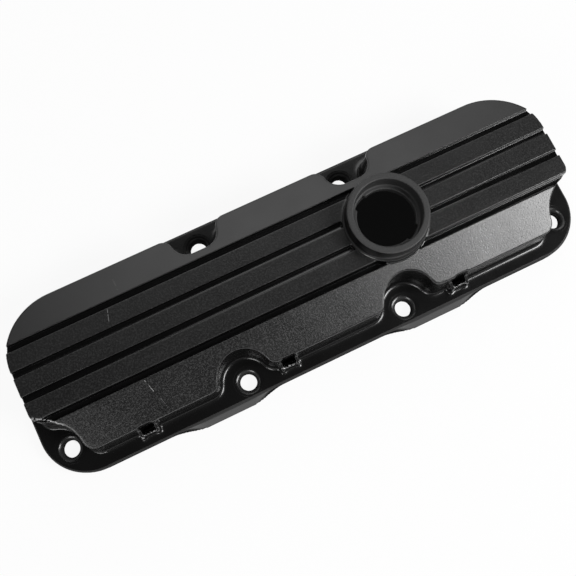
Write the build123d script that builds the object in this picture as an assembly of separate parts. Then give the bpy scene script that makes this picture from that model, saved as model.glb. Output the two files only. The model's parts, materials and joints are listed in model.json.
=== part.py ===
"""Valve cover of a V6 engine: one die-cast piece, open underneath, in millimetres.

X runs along the cover, -Y is the front with the grained face, +Z is up.
The origin is at the middle of the box, on the gasket face.
"""
import os
from math import atan2, cos, degrees, radians, sqrt

from build123d import *

# Flange
flange_length = 365.0
flange_depth = 113.2
flange_thickness = 8.0
flange_front_corner = 30.0
flange_back_corner = 44.0
flange_edge_break = 0.6

# Lobes of the sealing rail that stand out under the front edge
lobe_reach = 4.3
lobe_half_spacing = 72.0
lobe_flat = 26.0
lobe_shoulder = 26.0
lobe_height = 6.8
lobe_top_reach = 0.6

# Body above the flange
end_ledge = 6.2
back_ledge = 7.4
front_ledge = 10.0
body_back_corner = 36.5
wall = 3.5
draft = 1.5
foot_flare = 1.5
foot_flare_height = 1.5
crest_break = 0.4
steepest_crest = 40.0

# Height of the ribs above the flange top, and how far the sloping faces lie below the ribs
rib_height = 37.0
back_edge_drop = 7.0
facet_back_drop = 3.8
facet_front_drop = 13.0

# Grooves between the ribs
groove_count = 4
groove_pitch = 15.4
groove_width = 3.7
groove_depth = 3.0
last_groove_below_facet = 2.6
first_groove_inset = 30.75

# Bolts and their recesses
bolt_hole_radius = 5.25
bolt_mouth_radius = 8.4
bolt_mouth_depth = 4.4
front_bolt_spacing = 107.7
front_bolt_inset = 10.0
end_bolt_end_inset = 14.9
end_bolt_inset = 19.8
back_bolt_left = 46.7
back_bolt_right = 53.35
back_bolt_inset = 13.4
front_recess_radius = 16.0
front_recess_outset = 1.0
corner_recess_radius = 21.0
corner_recess_out = 9.4
corner_recess_fore = 4.3
back_recess_half_width = 13.6
back_recess_front = 9.3
back_recess_corner = 9.5
back_recess_outset = 0.8
entry_round = 7.5

# Oil filler neck
neck_x = 60.5
neck_inset = 54.25
neck_radius = 24.7
neck_height = 50.0
neck_bore_radius = 20.6
neck_bore_depth = 10.0
neck_ledge_radius = 17.6
neck_ledge_thickness = 4.0
neck_throat_radius = 19.2
neck_notch_width = 10.0
neck_notch_angle = -55.0
neck_collar = 1.6
neck_rim_break = 0.3

# Gasket groove in the flange face
gasket_groove_width = 4.0
gasket_groove_depth = 3.2
gasket_groove_inside = 1.5

# Clip pockets at the foot of the front wall
pocket_places = (-120.0, -27.0, 90.0)
pocket_width = 12.0
pocket_reach = 4.6
pocket_height = 13.0
pocket_cheek = 1.8
pocket_web = 1.2
pocket_web_reach = 3.0
pocket_web_height = 9.0
pocket_bite = 1.5

# Places that follow from the sizes above
overall_depth = flange_depth + lobe_reach
flange_front = lobe_reach - overall_depth / 2
flange_back = flange_front + flange_depth
flange_top = flange_thickness
body_front = flange_front + front_ledge
body_back = flange_back - back_ledge
body_half = flange_length / 2 - end_ledge
body_middle = (body_front + body_back) / 2
rib_top = flange_top + rib_height
first_groove_y = flange_back - first_groove_inset
last_groove_y = first_groove_y - (groove_count - 1) * groove_pitch
band_front = first_groove_y + groove_width / 2
facet_back = last_groove_y - groove_width / 2
facet_back_z = rib_top - facet_back_drop
facet_front_z = rib_top - facet_front_drop
last_groove_floor = facet_back_z - last_groove_below_facet
facet_slope = (facet_back_z - facet_front_z) / (facet_back - body_front)
band_slope = back_edge_drop / (body_back - band_front)
ceiling = rib_top - groove_depth - wall
neck_y = flange_back - neck_inset
neck_top = flange_top + neck_height
cut_margin = 10.0
same_height = 0.01

front_bolts = [(side * front_bolt_spacing / 2, flange_front + front_bolt_inset) for side in (-1, 1)]
end_bolt_x = flange_length / 2 - end_bolt_end_inset
end_bolts = [(side * end_bolt_x, flange_front + end_bolt_inset) for side in (-1, 1)]
back_bolts = [(x, flange_back - back_bolt_inset) for x in (-back_bolt_left, back_bolt_right)]


def outward(x):
    return 1 if x > 0 else -1


def flange():
    plan = Pos(0, (flange_front + flange_back) / 2) * Rectangle(flange_length, flange_depth)
    rows = plan.vertices().group_by(Axis.Y)
    plan = fillet(rows[0], flange_front_corner)
    plan = fillet(plan.vertices().sort_by(Axis.Y)[-2:], flange_back_corner)
    plate = extrude(plan, flange_thickness)
    rim = plate.faces().sort_by(Axis.Z)[-1].outer_wire().edges()
    return chamfer(rim, flange_edge_break)


def lobe_face(reach, height):
    """Swelling of the rail in plan: a flat with an S-shaped shoulder on each side."""
    half = lobe_flat / 2
    foot = half + lobe_shoulder
    front = flange_front - reach
    left = Spline((-foot, flange_front), (-half, front), tangents=((1, 0), (1, 0)))
    flat = Line((-half, front), (half, front))
    right = Spline((half, front), (foot, flange_front), tangents=((1, 0), (1, 0)))
    inside = flange_front + front_ledge / 2
    back = Polyline((foot, flange_front), (foot, inside), (-foot, inside), (-foot, flange_front))
    return Pos(0, 0, height) * make_face(left + flat + right + back)


def lobe():
    return loft([lobe_face(lobe_reach, 0), lobe_face(lobe_top_reach, lobe_height)], ruled=True)


def body_plan():
    """Outline of the body at its foot, with the bolt recesses and their rounded entries."""
    plan = Pos(0, body_middle) * Rectangle(2 * body_half, body_back - body_front)
    plan = fillet(plan.vertices().group_by(Axis.Y)[-1], body_back_corner)
    for x, y in front_bolts:
        plan -= Pos(x + outward(x) * front_recess_outset, y) * Circle(front_recess_radius)
    for x, y in end_bolts:
        centre = Pos(x + outward(x) * corner_recess_out, y - corner_recess_fore)
        plan -= centre * Circle(corner_recess_radius)
    for x, y in back_bolts:
        depth = body_back - (y - back_recess_front) + cut_margin + back_recess_corner
        notch = RectangleRounded(2 * back_recess_half_width, depth, back_recess_corner)
        plan -= Pos(x + outward(x) * back_recess_outset, y - back_recess_front + depth / 2) * notch
    # Going in and out again by the same amount rounds every outer corner of the outline
    return offset(offset(plan, -entry_round), entry_round)


def long_prism(points):
    """Profile in the YZ plane, drawn out past both ends of the body."""
    profile = make_face(Polyline(*points, close=True))
    span = flange_length + 2 * cut_margin
    return Pos(-span / 2, 0, 0) * extrude(Plane.YZ * profile, span)


def facet_z(y):
    return facet_front_z + (y - body_front) * facet_slope


def band_z(y):
    return rib_top - (y - band_front) * band_slope


def outer_profile():
    start = body_front - cut_margin
    end = body_back + cut_margin
    return long_prism([
        (start, flange_top - cut_margin),
        (start, facet_z(start)),
        (last_groove_y, facet_z(last_groove_y)),
        (last_groove_y, rib_top),
        (band_front, rib_top),
        (end, band_z(end)),
        (end, flange_top - cut_margin),
    ])


def inner_profile():
    start = body_front - cut_margin
    end = body_back + cut_margin
    facet_drop = wall * sqrt(1 + facet_slope ** 2)
    band_drop = wall * sqrt(1 + band_slope ** 2)
    groove_back = last_groove_y + groove_width / 2
    low = last_groove_floor - wall
    low_slope = (low - (facet_front_z - facet_drop)) / (groove_back - body_front)
    knee = band_front + (rib_top - band_drop - ceiling) / band_slope
    return long_prism([
        (start, -cut_margin),
        (start, low - (groove_back - start) * low_slope),
        (groove_back, low),
        (groove_back + wall, ceiling),
        (knee, ceiling),
        (end, ceiling - (end - knee) * band_slope),
        (end, -cut_margin),
    ])


def crest_z(y):
    """Height of the top at a place across the cover, as if it had no grooves."""
    if y > band_front:
        return band_z(y)
    return rib_top if y > last_groove_y else facet_z(y)


def groove_edges():
    """Back edge, front edge and floor height of each groove."""
    for index in range(groove_count):
        middle = first_groove_y - index * groove_pitch
        last = index == groove_count - 1
        floor = last_groove_floor if last else rib_top - groove_depth
        yield middle + groove_width / 2, middle - groove_width / 2, floor


def cut_grooves(shape):
    high = rib_top + cut_margin
    for back, front, floor in groove_edges():
        shape -= long_prism([(front, floor), (back, floor), (back, high), (front, high)])
    return shape


def break_groove_edges(shape):
    high = rib_top + cut_margin
    for back, front, _ in groove_edges():
        shape -= long_prism([
            (front, crest_z(front) - crest_break),
            (back, crest_z(back) - crest_break),
            (back + crest_break, crest_z(back + crest_break)),
            (back + crest_break, high),
            (front - crest_break, high),
            (front - crest_break, crest_z(front - crest_break)),
        ])
    return shape


def body(plan):
    tall = extrude(Pos(0, 0, flange_top) * plan, rib_height + cut_margin, taper=draft)
    foot = extrude(Pos(0, 0, flange_top / 2) * plan, flange_top / 2)
    shape = cut_grooves((tall & outer_profile()) + foot)
    return break_groove_edges(break_rims(shape))


def cavity(plan):
    opening = offset(plan, -wall)
    return extrude(opening, rib_top) & inner_profile()


def neck():
    """Outside of the filler neck with the collar at its foot, turned about its own axis."""
    collar = neck_radius + neck_collar
    outline = Polyline(
        (0, ceiling),
        (collar, ceiling),
        (collar, rib_top),
        (neck_radius, rib_top + neck_collar),
        (neck_radius, neck_top - neck_rim_break),
        (neck_radius - neck_rim_break, neck_top),
        (0, neck_top),
        close=True,
    )
    turned = revolve(Plane.XZ * make_face(outline), Axis.Z)
    return Pos(neck_x, neck_y, 0) * turned


def neck_bore():
    ledge_top = neck_top - neck_bore_depth
    ledge_bottom = ledge_top - neck_ledge_thickness
    deep = ledge_bottom - ceiling + cut_margin
    upper = Pos(0, 0, ledge_top + neck_bore_depth) * Cylinder(neck_bore_radius, 2 * neck_bore_depth)
    ledge_middle = ledge_top - neck_ledge_thickness / 2
    middle = Pos(0, 0, ledge_middle) * Cylinder(neck_ledge_radius, 2 * neck_ledge_thickness)
    lower = Pos(0, 0, ledge_bottom - deep / 2) * Cylinder(neck_throat_radius, deep)
    slot = Box(2 * neck_bore_radius, neck_notch_width, 2 * neck_ledge_thickness)
    slot &= Cylinder(neck_throat_radius, 2 * neck_ledge_thickness)
    notches = Pos(0, 0, ledge_middle) * Rot(0, 0, neck_notch_angle) * slot
    return Pos(neck_x, neck_y, 0) * (upper + middle + lower + notches)


def bolt_hole():
    """Through hole with a wide countersink at the flange top."""
    low = -cut_margin
    throat = flange_top - bolt_mouth_depth
    high = flange_top + cut_margin / 2
    outline = Polyline(
        (0, low),
        (bolt_hole_radius, low),
        (bolt_hole_radius, throat),
        (bolt_mouth_radius, flange_top),
        (bolt_mouth_radius, high),
        (0, high),
        close=True,
    )
    return revolve(Plane.XZ * make_face(outline), Axis.Z)


def gasket_groove(plan):
    outer = offset(plan, gasket_groove_width - gasket_groove_inside)
    inner = offset(plan, -gasket_groove_inside)
    return extrude(outer - inner, gasket_groove_depth)


def clip_pocket():
    """Two cheeks with a thin web between them, standing on the flange against the front wall."""
    back = body_front + wall / 2
    front = body_front - pocket_reach
    base = flange_top - flange_edge_break
    high = flange_top + pocket_height
    cheek = Polyline(
        (back, base), (front, base), (front, high - pocket_reach), (back, high), close=True
    )
    cheek_solid = extrude(Plane.YZ * make_face(cheek), pocket_cheek)
    shift = pocket_width / 2 - pocket_cheek
    pocket = Pos(shift, 0, 0) * cheek_solid + Pos(-shift - pocket_cheek, 0, 0) * cheek_solid
    web_height = pocket_web_height + flange_edge_break
    web = Box(pocket_width - pocket_cheek, pocket_web, web_height)
    return pocket + Pos(0, body_front - pocket_web_reach, base + web_height / 2) * web


def pocket_slot():
    """Slot behind the web, which bites into the wall up to the edge of the facet."""
    front = body_front - pocket_web_reach + pocket_web / 2
    back = body_front + pocket_bite
    height = facet_front_z - flange_top + cut_margin
    slot = Box(pocket_width - 2 * pocket_cheek, back - front, height)
    return Pos(0, (front + back) / 2, flange_top + height / 2) * slot


def crest_faces(shape):
    """Upper faces of the ribs, the back band and the front facet, without the groove floors."""
    floors = (flange_top, last_groove_floor, rib_top - groove_depth)
    crests = []
    for face in shape.faces().filter_by(GeomType.PLANE):
        faces_up = face.normal_at().Z > cos(radians(steepest_crest))
        if faces_up and all(abs(face.center().Z - floor) > same_height for floor in floors):
            crests.append(face)
    return crests


def along_groove(edge):
    return edge.geom_type == GeomType.LINE and edge.length > body_half


def break_rims(shape):
    """Break the outer edge of each upper face, where it meets the walls."""
    rims = [edge for face in crest_faces(shape) for edge in face.edges() if not along_groove(edge)]
    return chamfer(rims, crest_break)


def foot_flare_ring(plan):
    """Sloping foot of the walls: it starts inside the flange and ends inside the wall."""
    sunk = foot_flare_height / 2
    hidden = foot_flare * sunk / foot_flare_height
    spread = Pos(0, 0, flange_top - sunk) * offset(plan, foot_flare + hidden)
    angle = degrees(atan2(foot_flare, foot_flare_height))
    return extrude(spread, foot_flare_height + 2 * sunk, taper=angle)


def valve_cover():
    plan = body_plan()
    cover = flange()
    for side in (-1, 1):
        cover += Pos(side * lobe_half_spacing, 0, 0) * lobe()
    cover += foot_flare_ring(plan)
    cover += body(plan)
    cover += neck()
    for x in pocket_places:
        cover += Pos(x, 0, 0) * clip_pocket()
    cover -= cavity(plan)
    cover -= neck_bore()
    cover -= gasket_groove(plan)
    for x in pocket_places:
        cover -= Pos(x, 0, 0) * pocket_slot()
    for x, y in front_bolts + end_bolts + back_bolts:
        cover -= Pos(x, y, 0) * bolt_hole()
    return cover


os.makedirs("parts", exist_ok=True)
cover = valve_cover()
cover.label = "valve_cover"
export_step(cover, "parts/valve_cover.step")
box = cover.bounding_box()
print("solids", len(cover.solids()), "volume", round(cover.volume), "box", box.min, box.max)
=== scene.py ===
import json
from math import hypot, radians
from random import Random

import bmesh
import bpy
import numpy as np
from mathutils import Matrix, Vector


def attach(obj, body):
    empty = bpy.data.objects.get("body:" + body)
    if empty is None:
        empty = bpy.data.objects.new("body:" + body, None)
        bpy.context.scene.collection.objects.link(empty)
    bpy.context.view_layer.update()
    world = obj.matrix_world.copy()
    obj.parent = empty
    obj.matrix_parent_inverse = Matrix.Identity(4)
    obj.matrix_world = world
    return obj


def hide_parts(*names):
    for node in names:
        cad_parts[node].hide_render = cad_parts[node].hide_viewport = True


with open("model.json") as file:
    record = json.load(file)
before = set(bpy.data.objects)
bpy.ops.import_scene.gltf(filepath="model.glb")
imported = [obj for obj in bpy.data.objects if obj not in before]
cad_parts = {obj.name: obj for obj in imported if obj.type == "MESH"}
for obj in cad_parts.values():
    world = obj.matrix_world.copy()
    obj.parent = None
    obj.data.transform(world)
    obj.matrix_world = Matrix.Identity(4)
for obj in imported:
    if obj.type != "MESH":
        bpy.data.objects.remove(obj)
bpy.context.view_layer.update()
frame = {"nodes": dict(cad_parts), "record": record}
mounts = {mount["name"]: mount for mount in frame["record"]["mounts"]}
print("frame loaded:", sorted(frame["nodes"]))

# Where the faces of the casting lie, in metres; slopes are given as y and z of both edges
places = {
    "flangeTop": 0.008,
    "flangeHalf": 0.1825,
    "flangeFront": -0.05445,
    "flangeBack": 0.05875,
    "frontCorner": 0.030,
    "backCorner": 0.044,
    "ribTop": 0.045,
    "grooveMiddles": (0.0280, 0.0126, -0.0028, -0.0182),
    "grooveFloors": (0.042, 0.042, 0.042, 0.0386),
    "grooveHalf": 0.00185,
    "facetFront": (-0.04445, 0.032),
    "facetBack": (-0.02005, 0.0412),
    "bandFront": (0.02985, 0.045),
    "bandBack": (0.05135, 0.038),
    "clipPlaces": (-0.120, -0.027, 0.090),
    "neckReach": 0.027,  # clear of the collar, from the neck's axis
    "neckTop": 0.058,
}
neckX, neckY, _ = mounts["filler_bore"]["pos_m"]
boreRadius = mounts["filler_bore"]["dims"]["r_mm"] / 1000


def boltSpots():
    spots = []
    for name in ("front_bolts", "end_bolts", "back_bolts"):
        x, y, _ = mounts[name]["pos_m"]
        half = mounts[name]["dims"]["spacing_x_mm"] / 2000
        spots += [Vector((x + side * half, y, places["flangeTop"])) for side in (-1, 1)]
    return spots


# Helpers for meshes and geometry nodes
def plainMesh(piece):
    graph = bpy.context.evaluated_depsgraph_get()
    mesh = bpy.data.meshes.new_from_object(piece.evaluated_get(graph))
    piece.modifiers.clear()
    piece.data = mesh
    return mesh


def link(tree, source, target):
    tree.links.new(source, target)


def geometryTree(name, inputs):
    tree = bpy.data.node_groups.new(name, "GeometryNodeTree")
    tree.interface.new_socket("Geometry", in_out="INPUT", socket_type="NodeSocketGeometry")
    tree.interface.new_socket("Geometry", in_out="OUTPUT", socket_type="NodeSocketGeometry")
    sockets = {}
    for key in inputs:
        socket = tree.interface.new_socket(key, in_out="INPUT", socket_type="NodeSocketFloat")
        sockets[key] = socket.identifier
    return tree, sockets


def pointsMesh(name, spots):
    mesh = bpy.data.meshes.new(name)
    mesh.from_pydata([tuple(spot) for spot in spots], [], [])
    piece = bpy.data.objects.new(name, mesh)
    bpy.context.scene.collection.objects.link(piece)
    return piece


def runTree(piece, tree, sockets, values):
    modifier = piece.modifiers.new("shape", "NODES")
    modifier.node_group = tree
    for key, identifier in sockets.items():
        modifier[identifier] = values[key]
    mesh = plainMesh(piece)
    bpy.data.objects.remove(piece)
    return mesh


def instanceTail(tree, points, shape, scale=None):
    spread = tree.nodes.new("GeometryNodeInstanceOnPoints")
    real = tree.nodes.new("GeometryNodeRealizeInstances")
    dress = tree.nodes.new("GeometryNodeSetMaterial")
    dress.inputs["Material"].default_value = blackPaintMaterial
    out = tree.nodes.new("NodeGroupOutput")
    link(tree, points, spread.inputs["Points"])
    link(tree, shape, spread.inputs["Instance"])
    if scale is not None:
        link(tree, scale, spread.inputs["Scale"])
    link(tree, spread.outputs[0], real.inputs[0])
    link(tree, real.outputs[0], dress.inputs["Geometry"])
    link(tree, dress.outputs[0], out.inputs[0])


blackPaintMaterial = bpy.data.materials.new("blackPaint")

# Rolled mouths of the bolt holes: a ring with a quarter round, sunk in the flange at each bolt
mouthSettings = {"holeRadius": 0.00525, "roll": 0.0031}
mouthSteps = {"around": 72, "across": 12}


def makeMouths(settings, steps):
    tree, sockets = geometryTree("boltMouths", settings)
    into = tree.nodes.new("NodeGroupInput")
    reach = tree.nodes.new("ShaderNodeMath")
    link(tree, into.outputs["holeRadius"], reach.inputs[0])
    link(tree, into.outputs["roll"], reach.inputs[1])
    path = tree.nodes.new("GeometryNodeCurvePrimitiveCircle")
    path.inputs["Resolution"].default_value = steps["around"]
    link(tree, reach.outputs[0], path.inputs["Radius"])
    profile = tree.nodes.new("GeometryNodeCurveArc")
    profile.inputs["Resolution"].default_value = steps["across"]
    profile.inputs["Start Angle"].default_value = radians(180)
    profile.inputs["Sweep Angle"].default_value = radians(90)
    profile.inputs["Connect Center"].default_value = True
    link(tree, into.outputs["roll"], profile.inputs["Radius"])
    ring = tree.nodes.new("GeometryNodeCurveToMesh")
    link(tree, path.outputs[0], ring.inputs["Curve"])
    link(tree, profile.outputs[0], ring.inputs["Profile Curve"])
    instanceTail(tree, into.outputs["Geometry"], ring.outputs[0])
    sunk = Vector((0, 0, settings["roll"]))
    points = pointsMesh("boltMouths", [spot - sunk for spot in boltSpots()])
    return runTree(points, tree, sockets, settings)


# Torn metal: small lumps on the broken clip stubs and along the rough rim of the left recess
lumpSettings = {"smallest": 0.00025, "largest": 0.0006}
lumpChance = {"spotSeed": 11, "sizeSeed": 7, "rounds": 2}
stubSettings = {
    "halfWidth": 0.0051,
    "tipY": -0.0487,
    "tipZ": 0.0163,
    "tipStep": (0.0002, 0.0012, 0.0008),
    "webY": -0.04745,
    "webZ": 0.0168,
    "webSpan": 1.5,  # in half widths
    "webLumps": 6,
    "webSway": 0.0006,
    "webRise": 0.0004,
}
rimSettings = {
    "line": [(-0.1738, -0.0145, 0.0448), (-0.1700, -0.0172, 0.0446), (-0.1668, -0.0186, 0.0430),
             (-0.1640, -0.0203, 0.0405), (-0.1632, -0.0222, 0.0400), (-0.1602, -0.0243, 0.0386)],
    "lumps": 5,  # on each stretch of the line
    "sway": 0.0003,
    "rise": 0.0002,
}


def rimStretches():
    return zip(rimSettings["line"], rimSettings["line"][1:])


def stubLumps(settings, dice):
    stepX, stepY, stepZ = settings["tipStep"]
    count = settings["webLumps"]
    spots = []
    for middle in places["clipPlaces"]:
        for side in (-1, 1):
            tip = Vector((middle + side * settings["halfWidth"], settings["tipY"], settings["tipZ"]))
            spots += [tip, tip + Vector((side * stepX, stepY, stepZ))]
        for index in range(count):
            along = (index / (count - 1) - 0.5) * settings["webSpan"] * settings["halfWidth"]
            sway = dice.uniform(-settings["webSway"], settings["webSway"])
            rise = dice.uniform(-settings["webRise"], settings["webRise"])
            spots.append(Vector((middle + along, settings["webY"] + sway, settings["webZ"] + rise)))
    return spots


def rimLumps(settings, dice):
    spots = []
    for start, end in rimStretches():
        for index in range(settings["lumps"]):
            spot = Vector(start).lerp(Vector(end), index / settings["lumps"])
            sway = dice.uniform(-settings["sway"], settings["sway"])
            rise = dice.uniform(-settings["rise"], settings["rise"])
            spots.append(spot + Vector((0, sway, rise)))
    return spots


def makeLumps(settings, chances):
    tree, sockets = geometryTree("tornMetal", settings)
    into = tree.nodes.new("NodeGroupInput")
    lump = tree.nodes.new("GeometryNodeMeshIcoSphere")
    lump.inputs["Radius"].default_value = 1.0
    lump.inputs["Subdivisions"].default_value = chances["rounds"]
    size = tree.nodes.new("FunctionNodeRandomValue")
    link(tree, into.outputs["smallest"], size.inputs[2])
    link(tree, into.outputs["largest"], size.inputs[3])
    size.inputs["Seed"].default_value = chances["sizeSeed"]
    instanceTail(tree, into.outputs["Geometry"], lump.outputs[0], size.outputs[1])
    dice = Random(chances["spotSeed"])
    spots = stubLumps(stubSettings, dice) + rimLumps(rimSettings, dice)
    return runTree(pointsMesh("tornMetal", spots), tree, sockets, settings)


# Mesh of the casting: the CAD solid with its mouths and torn edges under one even skin
castingSettings = {
    "weld": 2e-6,
    "skin": 0.00045,
    "squareNear": 0.00028,  # how far a groove's faces are pulled straight
    "squareBelow": 0.0008,  # below the ribs' top
    "softShare": 0.5,
    "castRounds": 5,
    "crestRounds": 2,
    "footRounds": 60,
    "sharpBelow": 0.0006,
    "crestReach": 0.0009,
    "crestAbove": 0.0382,
    "crestDepth": 0.0016,
    "footLow": 0.0072,
    "footHigh": 0.0130,
    "footInside": 0.0022,
    "footFrom": -0.150,
    "mouthReach": 0.0102,
    "faces": 150000,
    "sharpTurn": 58,
    "flatWeight": 60,
}


def joined(meshes, weld):
    work = bmesh.new()
    work.from_mesh(meshes[0])
    bmesh.ops.remove_doubles(work, verts=work.verts, dist=weld)
    for mesh in meshes[1:]:
        work.from_mesh(mesh)
    result = bpy.data.meshes.new("casting")
    work.to_mesh(result)
    work.free()
    return result


def insideFlange(x, y):
    corner = np.where(y > 0, places["backCorner"], places["frontCorner"])
    middle = (places["flangeFront"] + places["flangeBack"]) / 2
    depth = (places["flangeBack"] - places["flangeFront"]) / 2
    outX = np.abs(x) - places["flangeHalf"] + corner
    outY = np.abs(y - middle) - depth + corner
    far = np.hypot(np.maximum(outX, 0), np.maximum(outY, 0))
    return corner - far - np.minimum(np.maximum(outX, outY), 0)


# Pulls the skin back to the grooves' true walls and floors
def squareGrooves(x, y, z, settings):
    near, half = settings["squareNear"], places["grooveHalf"]
    free = np.hypot(x - neckX, y - neckY) > places["neckReach"]
    free &= z < places["ribTop"] - settings["squareBelow"]
    for middle, floor in zip(places["grooveMiddles"], places["grooveFloors"]):
        across = y - middle
        inside = free & (np.abs(across) < half + near) & (z > floor - near)
        y[inside & (across > half - near)] = middle + half
        y[inside & (across < near - half)] = middle - half
        z[inside & (z < floor + near)] = floor


# Which points are smoothed: cast edges, crests of the grooves, feet of the walls
def softParts(x, y, z, settings):
    cast = z > settings["sharpBelow"]
    crest = np.zeros(len(z), bool)
    for middle in places["grooveMiddles"]:
        near = np.abs(y - middle) < places["grooveHalf"] + settings["crestReach"]
        near &= z > settings["crestAbove"]
        cast &= ~near
        crest |= near & (z > places["ribTop"] - settings["crestDepth"])
    foot = (z > settings["footLow"]) & (z < settings["footHigh"]) & (x > settings["footFrom"])
    foot &= insideFlange(x, y) > settings["footInside"]
    for spot in boltSpots():
        foot &= np.hypot(x - spot.x, y - spot.y) > settings["mouthReach"]
    return {"cast": cast, "crest": crest, "foot": foot}


def softenEdges(piece, settings):
    mesh = piece.data
    flat = np.empty(3 * len(mesh.vertices), np.float32)
    mesh.vertices.foreach_get("co", flat)
    x, y, z = flat.reshape(-1, 3).T
    squareGrooves(x, y, z, settings)
    mesh.vertices.foreach_set("co", flat)
    for name, chosen in softParts(x, y, z, settings).items():
        group = piece.vertex_groups.new(name=name)
        group.add(np.nonzero(chosen)[0].tolist(), 1.0, "REPLACE")
        soft = piece.modifiers.new(name, "SMOOTH")
        soft.factor = settings["softShare"]
        soft.iterations = settings[name + "Rounds"]
        soft.vertex_group = name
    plainMesh(piece)
    piece.vertex_groups.clear()


def makeCasting(settings):
    solid = frame["nodes"]["valve_cover"].data.copy()
    solid.materials.clear()
    mouths, lumps = makeMouths(mouthSettings, mouthSteps), makeLumps(lumpSettings, lumpChance)
    piece = bpy.data.objects.new("casting", joined([solid, mouths, lumps], settings["weld"]))
    bpy.context.scene.collection.objects.link(piece)
    skin = piece.modifiers.new("evenSkin", "REMESH")
    skin.mode = "VOXEL"
    skin.voxel_size = settings["skin"]
    skinMesh = plainMesh(piece)
    print("casting skin:", len(skinMesh.polygons), "faces")
    softenEdges(piece, settings)
    thin = piece.modifiers.new("fewFaces", "DECIMATE")
    thin.ratio = settings["faces"] / (2 * len(piece.data.polygons))  # the skin is all quads
    thin.use_collapse_triangulate = True
    plainMesh(piece)
    piece.data.shade_smooth()
    piece.data.set_sharp_from_angle(angle=radians(settings["sharpTurn"]))
    flats = piece.modifiers.new("trueFlats", "WEIGHTED_NORMAL")
    flats.mode = "FACE_AREA"
    flats.weight = settings["flatWeight"]
    flats.keep_sharp = True
    plainMesh(piece)
    print("casting kept:", len(piece.data.polygons), "faces")
    return piece


# Helpers for the shader trees
def addNode(tree, kind, inputs=None, **options):
    node = tree.nodes.new("ShaderNode" + kind)
    for name, value in options.items():
        setattr(node, name, value)
    for name, value in (inputs or {}).items():
        socket = node.inputs[name]
        if isinstance(value, bpy.types.NodeSocket):
            link(tree, value, socket)
        else:
            socket.default_value = value
    return node


def addMath(tree, operation, *values):
    return addNode(tree, "Math", dict(enumerate(values)), operation=operation).outputs[0]


def product(tree, first, *others):
    for other in others:
        first = addMath(tree, "MULTIPLY", first, other)
    return first


def largest(tree, first, *others):
    for other in others:
        first = addMath(tree, "MAXIMUM", first, other)
    return first


def distance(tree, value, middle):
    return addMath(tree, "ABSOLUTE", addMath(tree, "SUBTRACT", value, middle))


def fade(tree, value, low, high, start=0.0, end=1.0):
    inputs = {"Value": value, "From Min": low, "From Max": high, "To Min": start, "To Max": end}
    return addNode(tree, "MapRange", inputs, interpolation_type="SMOOTHSTEP").outputs[0]


def blend(tree, share, first, second):
    return addNode(tree, "Mix", {0: share, 2: first, 3: second}).outputs[0]


def noise(tree, spot, grain, detail=2.0):
    return addNode(tree, "TexNoise", {"Vector": spot, "Scale": 1 / grain, "Detail": detail}).outputs[0]


def greyColour(tree, level):
    return addNode(tree, "CombineColor", {0: level, 1: level, 2: level}).outputs[0]


# Black paint: greys, painted shade in the grooves, roughness, grain and flecks
paintSettings = {
    "black": 0.004,
    # painted shade: inside the grooves the paint is a third as light as the black
    "paintedGrooveShade": 0.004 / 3,
    "scuffed": 0.36,
    "bare": 0.26,
    "rimGrey": 0.026,
    "boreGrey": 0.022,
    "mouthGrey": 0.030,
    "specular": 0.7,
    "glossRoughness": 0.24,
    "ribRoughness": 0.38,
    "bandRoughness": 0.40,
    "facetRoughness": 0.32,
    "rimRoughness": 0.62,
    "neckRoughness": 0.30,
    "edgeRoughness": 0.75,
    "recessRoughness": 0.30,
    "grooveRoughness": 0.20,
    "facetGrain": 0.00088,
    "facetDepth": 0.00008,
    "facetSpeckle": 0.18,
    "facetFleck": 0.027,
    "ribGrain": 0.00105,
    "ribDepth": 0.00010,
    "ribSpeckle": 0.18,
    "ribFleck": 0.010,
    "rimSpeckle": 0.05,
    "fleckLimits": (0.47, 0.63),
    "seatDepth": 0.00007,
    "cloudGrain": 0.02,
    "cloudShare": 0.10,
}

# Where each finish lies, in metres: a pair is where it starts and where it is full
areaSettings = {
    "facetReach": 0.0006,
    "bandReach": 0.0008,
    "offRibs": (0.0004, 0.0002),
    "rimBelowTop": (0.0006, 0.0003),
    # the groove area carries painted shade in its colour, and its own roughness
    "grooveBeyond": 0.0003,
    "grooveBelowRibs": (0.0006, 0.0012),
    "grooveAbove": (0.036, 0.0375),
    "edgeInside": (-0.0012, -0.00096),
    "edgeAbove": (0.0066, 0.0070),
    "recessEnd": (-0.150, -0.154),
    "recessAbove": (0.0083, 0.0090),
    "recessBelow": (0.0375, 0.0365),
    "boltsBelow": (0.0095, 0.0105),  # here the finish round the bolts ends
    "seat": (0.0090, 0.0096),
    "mouth": (0.0076, 0.00684),
    "mouthAbove": (0.002, 0.003),
    "boreBeyond": (0.0012, 0.0006),
    "boreAbove": (0.036, 0.037),
    "neckBeyond": (0.0020, 0.0030),
    "neckAbove": (0.0452, 0.0460),
}

# Bare metal on the torn places, in patches
bareSettings = {
    "tipAbove": (0.0154, 0.0162),
    "tipFront": (-0.0466, -0.0472),
    "tipGrain": 0.0016,
    "tipPatches": (0.52, 0.60),
    "rimReach": (0.0010, 0.0006),
    "rimGrain": 0.0022,
    "rimPatches": (0.26, 0.38),
}

# Scratches in the paint: ends on the plan and half width, in metres, and how light they are
scratchSettings = {
    "ribNick": {"start": (-0.1107, 0.0259), "end": (-0.1130, 0.0178), "half": 0.00025, "light": 0.45},
    "facetCut": {"start": (-0.1087, -0.0205), "end": (-0.1062, -0.0300), "half": 0.00030, "light": 0.8},
    "facetTrail": {"start": (-0.1048, -0.0328), "end": (-0.1027, -0.0425), "half": 0.00022, "light": 0.4},
    "bandSmudge": {"start": (-0.1010, 0.0330), "end": (-0.1012, 0.0415), "half": 0.0006, "light": 0.06},
}
scratchBreaks = {"grain": 0.0018, "limits": (0.40, 0.52), "core": 0.3, "fullLength": 0.4}


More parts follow.
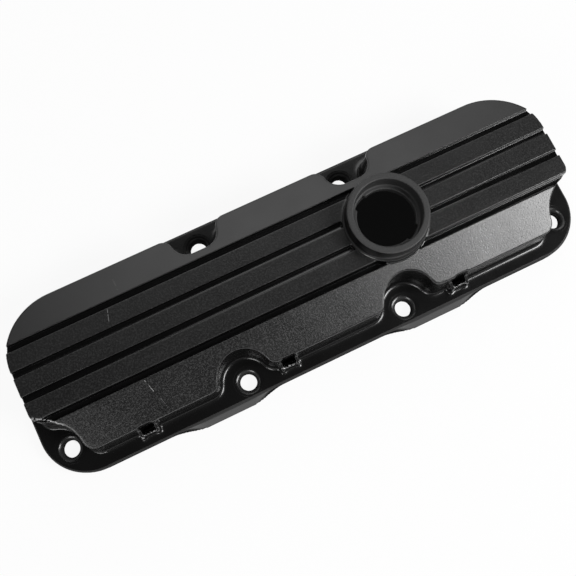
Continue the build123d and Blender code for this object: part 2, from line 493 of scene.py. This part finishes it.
def nearSlope(tree, y, z, low, high, reach):
    slope = (high[1] - low[1]) / (high[0] - low[0])
    height = addMath(tree, "MULTIPLY_ADD", y, slope, low[1] - slope * low[0])
    away = distance(tree, z, height)
    half = abs(high[0] - low[0]) / 2
    inside = fade(tree, distance(tree, y, (low[0] + high[0]) / 2), half + reach, half)
    return product(tree, fade(tree, away, reach, reach / 2), inside)


def scratchMask(tree, x, y, broken, settings):
    (startX, startY), (endX, endY) = settings["start"], settings["end"]
    length = hypot(endX - startX, endY - startY)
    alongX, alongY = (endX - startX) / length, (endY - startY) / length
    fromX, fromY = addMath(tree, "SUBTRACT", x, startX), addMath(tree, "SUBTRACT", y, startY)
    along = addMath(tree, "MULTIPLY_ADD", fromX, alongX, product(tree, fromY, alongY))
    aside = addMath(tree, "MULTIPLY_ADD", fromX, alongY, product(tree, fromY, -alongX))
    half = settings["half"]
    line = fade(tree, addMath(tree, "ABSOLUTE", aside), half, half * scratchBreaks["core"])
    inside = fade(tree, distance(tree, along, length / 2), length / 2, length * scratchBreaks["fullLength"])
    return product(tree, line, inside, product(tree, broken, settings["light"]))


def scuffMask(tree, x, y, spot):
    broken = fade(tree, noise(tree, spot, scratchBreaks["grain"], 1.0), *scratchBreaks["limits"])
    return largest(tree, *[scratchMask(tree, x, y, broken, values) for values in scratchSettings.values()])


def nearLine(tree, spot, start, end, reach):
    start, end = Vector(start), Vector(end)
    fromStart = addNode(tree, "VectorMath", {0: spot, 1: start}, operation="SUBTRACT").outputs[0]
    way = (end - start) / (end - start).length_squared
    share = addNode(tree, "VectorMath", {0: fromStart, 1: way}, operation="DOT_PRODUCT").outputs["Value"]
    share = addNode(tree, "Clamp", {0: share}).outputs[0]
    foot = addNode(tree, "VectorMath", {0: end - start, "Scale": share}, operation="SCALE").outputs[0]
    gap = addNode(tree, "VectorMath", {0: fromStart, 1: foot}, operation="DISTANCE").outputs["Value"]
    return fade(tree, gap, *reach)


def bareMask(tree, y, z, spot, settings):
    tipPatches = fade(tree, noise(tree, spot, settings["tipGrain"], 1.0), *settings["tipPatches"])
    tips = product(tree, fade(tree, z, *settings["tipAbove"]), fade(tree, y, *settings["tipFront"]))
    rimPatches = fade(tree, noise(tree, spot, settings["rimGrain"], 1.0), *settings["rimPatches"])
    rim = [nearLine(tree, spot, start, end, settings["rimReach"]) for start, end in rimStretches()]
    return largest(tree, product(tree, tips, tipPatches), product(tree, largest(tree, *rim), rimPatches))


# Where the grooves lie: painted shade and the groove roughness go here
def inGrooves(tree, y, z, settings):
    half = places["grooveHalf"]
    inside = 0.0
    for middle in places["grooveMiddles"]:
        beside = fade(tree, distance(tree, y, middle), half + settings["grooveBeyond"], half)
        inside = largest(tree, inside, beside)
    start, full = settings["grooveBelowRibs"]
    below = fade(tree, z, places["ribTop"] - start, places["ribTop"] - full)
    return product(tree, inside, below, fade(tree, z, *settings["grooveAbove"]))


# How far a spot lies outside the flange's outline, less than nothing inside it
def flangeGap(tree, x, y):
    corner = places["frontCorner"]
    middle = (places["flangeFront"] + places["flangeBack"]) / 2
    depth = (places["flangeBack"] - places["flangeFront"]) / 2
    outX = addMath(tree, "SUBTRACT", addMath(tree, "ABSOLUTE", x), places["flangeHalf"] - corner)
    outY = addMath(tree, "SUBTRACT", distance(tree, y, middle), depth - corner)
    squares = [addMath(tree, "POWER", largest(tree, out, 0.0), 2.0) for out in (outX, outY)]
    return addMath(tree, "SUBTRACT", addMath(tree, "SQRT", addMath(tree, "ADD", *squares)), corner)


def fromAxis(tree, x, y, axisX, axisY):
    plan = addNode(tree, "CombineXYZ", {0: x, 1: y}).outputs[0]
    axis = (axisX, axisY, 0)
    return addNode(tree, "VectorMath", {0: plan, 1: axis}, operation="DISTANCE").outputs["Value"]


# How far the nearest bolt's axis is, for spots on the flange
def boltGap(tree, x, y, z, settings):
    gap = 1.0
    for bolt in boltSpots():
        gap = addMath(tree, "MINIMUM", gap, fromAxis(tree, x, y, bolt.x, bolt.y))
    return largest(tree, gap, fade(tree, z, *settings["boltsBelow"]))


def aroundNeck(tree, x, y, z, limits, heights):
    gap = fromAxis(tree, x, y, neckX, neckY)
    start, full = limits
    return product(tree, fade(tree, gap, boreRadius + start, boreRadius + full), fade(tree, z, *heights))


def paintAreas(tree, spot, settings):
    x, y, z = addNode(tree, "SeparateXYZ", {0: spot}).outputs
    facet = nearSlope(tree, y, z, places["facetFront"], places["facetBack"], settings["facetReach"])
    band = nearSlope(tree, y, z, places["bandFront"], places["bandBack"], settings["bandReach"])
    ribs = fade(tree, distance(tree, z, places["ribTop"]), *settings["offRibs"])
    rimStart, rimFull = settings["rimBelowTop"]
    edge = fade(tree, flangeGap(tree, x, y), *settings["edgeInside"])
    recess = product(tree, fade(tree, x, *settings["recessEnd"]), fade(tree, z, *settings["recessAbove"]),
                     fade(tree, z, *settings["recessBelow"]), addMath(tree, "SUBTRACT", 1.0, facet))
    bolts = boltGap(tree, x, y, z, settings)
    mouth = fade(tree, bolts, *settings["mouth"])
    return {
        "facet": facet,
        "band": band,
        "ribs": ribs,
        "rim": fade(tree, z, places["neckTop"] - rimStart, places["neckTop"] - rimFull),
        "bore": aroundNeck(tree, x, y, z, settings["boreBeyond"], settings["boreAbove"]),
        "neck": aroundNeck(tree, x, y, z, settings["neckBeyond"], settings["neckAbove"]),
        "groove": inGrooves(tree, y, z, settings),
        "edge": product(tree, edge, fade(tree, z, *settings["edgeAbove"])),
        "recess": recess,
        "bolts": bolts,
        "mouth": product(tree, mouth, fade(tree, z, *settings["mouthAbove"])),
        "scuff": product(tree, scuffMask(tree, x, y, spot), largest(tree, facet, band, ribs)),
        "bare": bareMask(tree, y, z, spot, bareSettings),
    }


def speckled(tree, value, speckle, share):
    return addMath(tree, "MULTIPLY_ADD", addMath(tree, "SUBTRACT", speckle, 0.5), share, value)


def paintBump(tree, areas, grain, fine, settings):
    facetHeight = product(tree, grain, product(tree, areas["facet"], settings["facetDepth"]))
    ribHeight = product(tree, fine, product(tree, areas["ribs"], settings["ribDepth"]))
    seatHeight = fade(tree, areas["bolts"], *areaSettings["seat"], 0, settings["seatDepth"])
    height = addMath(tree, "ADD", addMath(tree, "ADD", facetHeight, ribHeight), seatHeight)
    return addNode(tree, "Bump", {"Strength": 1.0, "Distance": 1.0, "Height": height}).outputs[0]


def paintRoughness(tree, areas, grain, fine, cloud, settings):
    ribs = speckled(tree, settings["ribRoughness"], fine, settings["ribSpeckle"])
    facet = speckled(tree, settings["facetRoughness"], grain, settings["facetSpeckle"])
    rimAndBore = largest(tree, areas["rim"], areas["bore"])
    roughness = blend(tree, areas["ribs"], settings["glossRoughness"], ribs)
    roughness = blend(tree, areas["band"], roughness, settings["bandRoughness"])
    roughness = blend(tree, areas["facet"], roughness, facet)
    roughness = blend(tree, areas["neck"], roughness, settings["neckRoughness"])
    roughness = blend(tree, rimAndBore, roughness, settings["rimRoughness"])
    for name in ("groove", "edge", "recess"):
        roughness = blend(tree, areas[name], roughness, settings[name + "Roughness"])
    return speckled(tree, roughness, cloud, settings["cloudShare"])


def paintGrey(tree, areas, grain, fine, settings):
    rim = speckled(tree, settings["rimGrey"], grain, settings["rimSpeckle"])
    level = blend(tree, areas["bore"], settings["black"], settings["boreGrey"])
    level = blend(tree, areas["rim"], level, rim)
    # painted shade: inside the grooves the colour is darker than the black paint
    level = blend(tree, areas["groove"], level, settings["paintedGrooveShade"])
    level = blend(tree, areas["mouth"], level, settings["mouthGrey"])
    for name, speckle, light in (("facet", grain, "facetFleck"), ("ribs", fine, "ribFleck")):
        flecks = product(tree, areas[name], fade(tree, speckle, *settings["fleckLimits"]))
        level = addMath(tree, "MULTIPLY_ADD", flecks, settings[light], level)
    level = blend(tree, areas["scuff"], level, settings["scuffed"])
    return blend(tree, areas["bare"], level, settings["bare"])


def blackPaint(settings):
    paint = blackPaintMaterial
    paint.use_nodes = True
    tree = paint.node_tree
    shader = tree.nodes["Principled BSDF"]
    shader.inputs["Specular IOR Level"].default_value = settings["specular"]
    spot = addNode(tree, "TexCoord").outputs["Object"]
    areas = paintAreas(tree, spot, areaSettings)
    grain, fine = noise(tree, spot, settings["facetGrain"]), noise(tree, spot, settings["ribGrain"])
    cloud = noise(tree, spot, settings["cloudGrain"], 3.0)
    link(tree, paintBump(tree, areas, grain, fine, settings), shader.inputs["Normal"])
    link(tree, paintRoughness(tree, areas, grain, fine, cloud, settings), shader.inputs["Roughness"])
    grey = paintGrey(tree, areas, grain, fine, settings)
    link(tree, greyColour(tree, grey), shader.inputs["Base Color"])
    return paint


casting = makeCasting(castingSettings)
casting.data.materials.clear()
casting.data.materials.append(blackPaint(paintSettings))
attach(casting, "root")
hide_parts("valve_cover")
print("casting painted")

# Floor: white paper that keeps the shadow, with painted shade where the casting shuts out the light: near
# black colour and no glow under the casting, and dark in reflections near the flange's foot and far away
floorSettings = {
    "half": 6.0,
    "white": 0.9,
    "paintedShutShade": 0.01,
    "roughness": 0.9,
    "glow": 0.92,
    "shadeGlow": 0.02,
    "shutHalf": 0.166,
    "shutFront": -0.033,
    "shutBack": 0.040,
    "shutEdge": 0.004,
    "shutShare": 0.996,
    # in reflections only: painted shade near the flange's foot and beyond the paper's reach, where the
    # camera still sees white
    "footShade": (0.006, 0.0036),
    "paper": (0.40, 0.80),
}


# Where the casting shuts out the light: the mask for the painted shade under it
def underCasting(tree, x, y, settings):
    edge = settings["shutEdge"]
    along = fade(tree, addMath(tree, "ABSOLUTE", x), settings["shutHalf"], settings["shutHalf"] - edge)
    front = fade(tree, y, settings["shutFront"], settings["shutFront"] + edge)
    back = fade(tree, y, settings["shutBack"], settings["shutBack"] - edge)
    return product(tree, along, product(tree, front, back))


def whitePaper(settings):
    paper = bpy.data.materials.new("whitePaper")
    paper.use_nodes = True
    tree = paper.node_tree
    shader = tree.nodes["Principled BSDF"]
    spot = addNode(tree, "TexCoord").outputs["Object"]
    x, y = addNode(tree, "SeparateXYZ", {0: spot}).outputs[:2]
    shut = underCasting(tree, x, y, settings)
    # painted shade: under the casting the paper's colour drops near black and its glow goes
    level = blend(tree, shut, settings["white"], settings["paintedShutShade"])
    link(tree, greyColour(tree, level), shader.inputs["Base Color"])
    shader.inputs["Roughness"].default_value = settings["roughness"]
    path = addNode(tree, "LightPath").outputs
    seen = largest(tree, path["Is Camera Ray"], path["Is Glossy Ray"], path["Is Transmission Ray"])
    clear = addMath(tree, "SUBTRACT", 1.0, product(tree, shut, settings["shutShare"]))
    away = addNode(tree, "VectorMath", {0: spot}, operation="LENGTH").outputs["Value"]
    # painted shade seen only by glossy rays: dark near the flange's foot and far from the casting
    nearFoot = fade(tree, flangeGap(tree, x, y), *settings["footShade"])
    dim = largest(tree, nearFoot, fade(tree, away, *settings["paper"]))
    white = addNode(tree, "Emission", {"Color": (1, 1, 1, 1), "Strength": 1.0}).outputs[0]
    dark = addNode(tree, "Emission", {"Color": (1, 1, 1, 1), "Strength": settings["shadeGlow"]}).outputs[0]
    glow = product(tree, product(tree, seen, clear), settings["glow"])
    lit = addNode(tree, "MixShader", {0: glow, 1: shader.outputs[0], 2: white}).outputs[0]
    shade = product(tree, path["Is Glossy Ray"], dim)
    shaded = addNode(tree, "MixShader", {0: shade, 1: lit, 2: dark}).outputs[0]
    link(tree, shaded, tree.nodes["Material Output"].inputs["Surface"])
    return paper


def makeFloor(settings):
    half = settings["half"]
    corners = [(-half, -half, 0), (half, -half, 0), (half, half, 0), (-half, half, 0)]
    mesh = bpy.data.meshes.new("floor")
    mesh.from_pydata(corners, [], [(0, 1, 2, 3)])
    mesh.materials.append(whitePaper(settings))
    floor = bpy.data.objects.new("floor", mesh)
    bpy.context.scene.collection.objects.link(floor)


makeFloor(floorSettings)
print("floor laid")

# Light: three softboxes and a room that is bright at the horizon and dark overhead
lampTarget = Vector((0, 0, 0.03))
lampSettings = {
    "backSoftbox": {"spot": (0.25, 1.1, 1.1), "size": 1.2, "power": 7.5},
    "rightSoftbox": {"spot": (0.95, -0.75, 1.15), "size": 0.7, "power": 22.5},
    "leftSoftbox": {"spot": (-0.95, -0.95, 0.95), "size": 0.6, "power": 6.8},
}
roomSettings = {"horizon": 0.30, "overhead": 0.032, "low": 0.05, "high": 0.65, "backdrop": 1.0}


def addLamp(name, settings):
    lamp = bpy.data.lights.new(name, "AREA")
    lamp.energy = settings["power"]
    lamp.size = settings["size"]
    holder = bpy.data.objects.new(name, lamp)
    holder.location = settings["spot"]
    holder.rotation_euler = (lampTarget - Vector(settings["spot"])).to_track_quat("-Z", "Y").to_euler()
    bpy.context.scene.collection.objects.link(holder)


def makeRoom(settings):
    room = bpy.data.worlds.new("studio")
    room.use_nodes = True
    tree = room.node_tree
    way = addNode(tree, "TexCoord").outputs["Generated"]
    height = addNode(tree, "SeparateXYZ", {0: way}).outputs[2]
    level = fade(tree, height, settings["low"], settings["high"], settings["horizon"], settings["overhead"])
    seen = addNode(tree, "LightPath").outputs["Is Camera Ray"]
    strength = blend(tree, seen, level, settings["backdrop"])
    link(tree, strength, tree.nodes["Background"].inputs["Strength"])
    tree.nodes["Background"].inputs["Color"].default_value = (1, 1, 1, 1)
    bpy.context.scene.world = room


for lampName, lampValues in lampSettings.items():
    addLamp(lampName, lampValues)
makeRoom(roomSettings)
print("lamps set")

# Camera
cameraSettings = {
    "spot": (-0.06877, -0.09921, 0.54881),
    "turn": (11.973, -1.464, -25.757),
    "lens": 54.95,
    "sensor": 36.0,
    "nearest": 0.01,
}
cameraData = bpy.data.cameras.new("camera")
cameraData.lens = cameraSettings["lens"]
cameraData.sensor_width = cameraSettings["sensor"]
cameraData.clip_start = cameraSettings["nearest"]
camera = bpy.data.objects.new("camera", cameraData)
camera.location = cameraSettings["spot"]
camera.rotation_euler = [radians(turn) for turn in cameraSettings["turn"]]
bpy.context.scene.collection.objects.link(camera)
bpy.context.scene.camera = camera
bpy.context.scene.view_settings.view_transform = "Standard"
print("camera set")
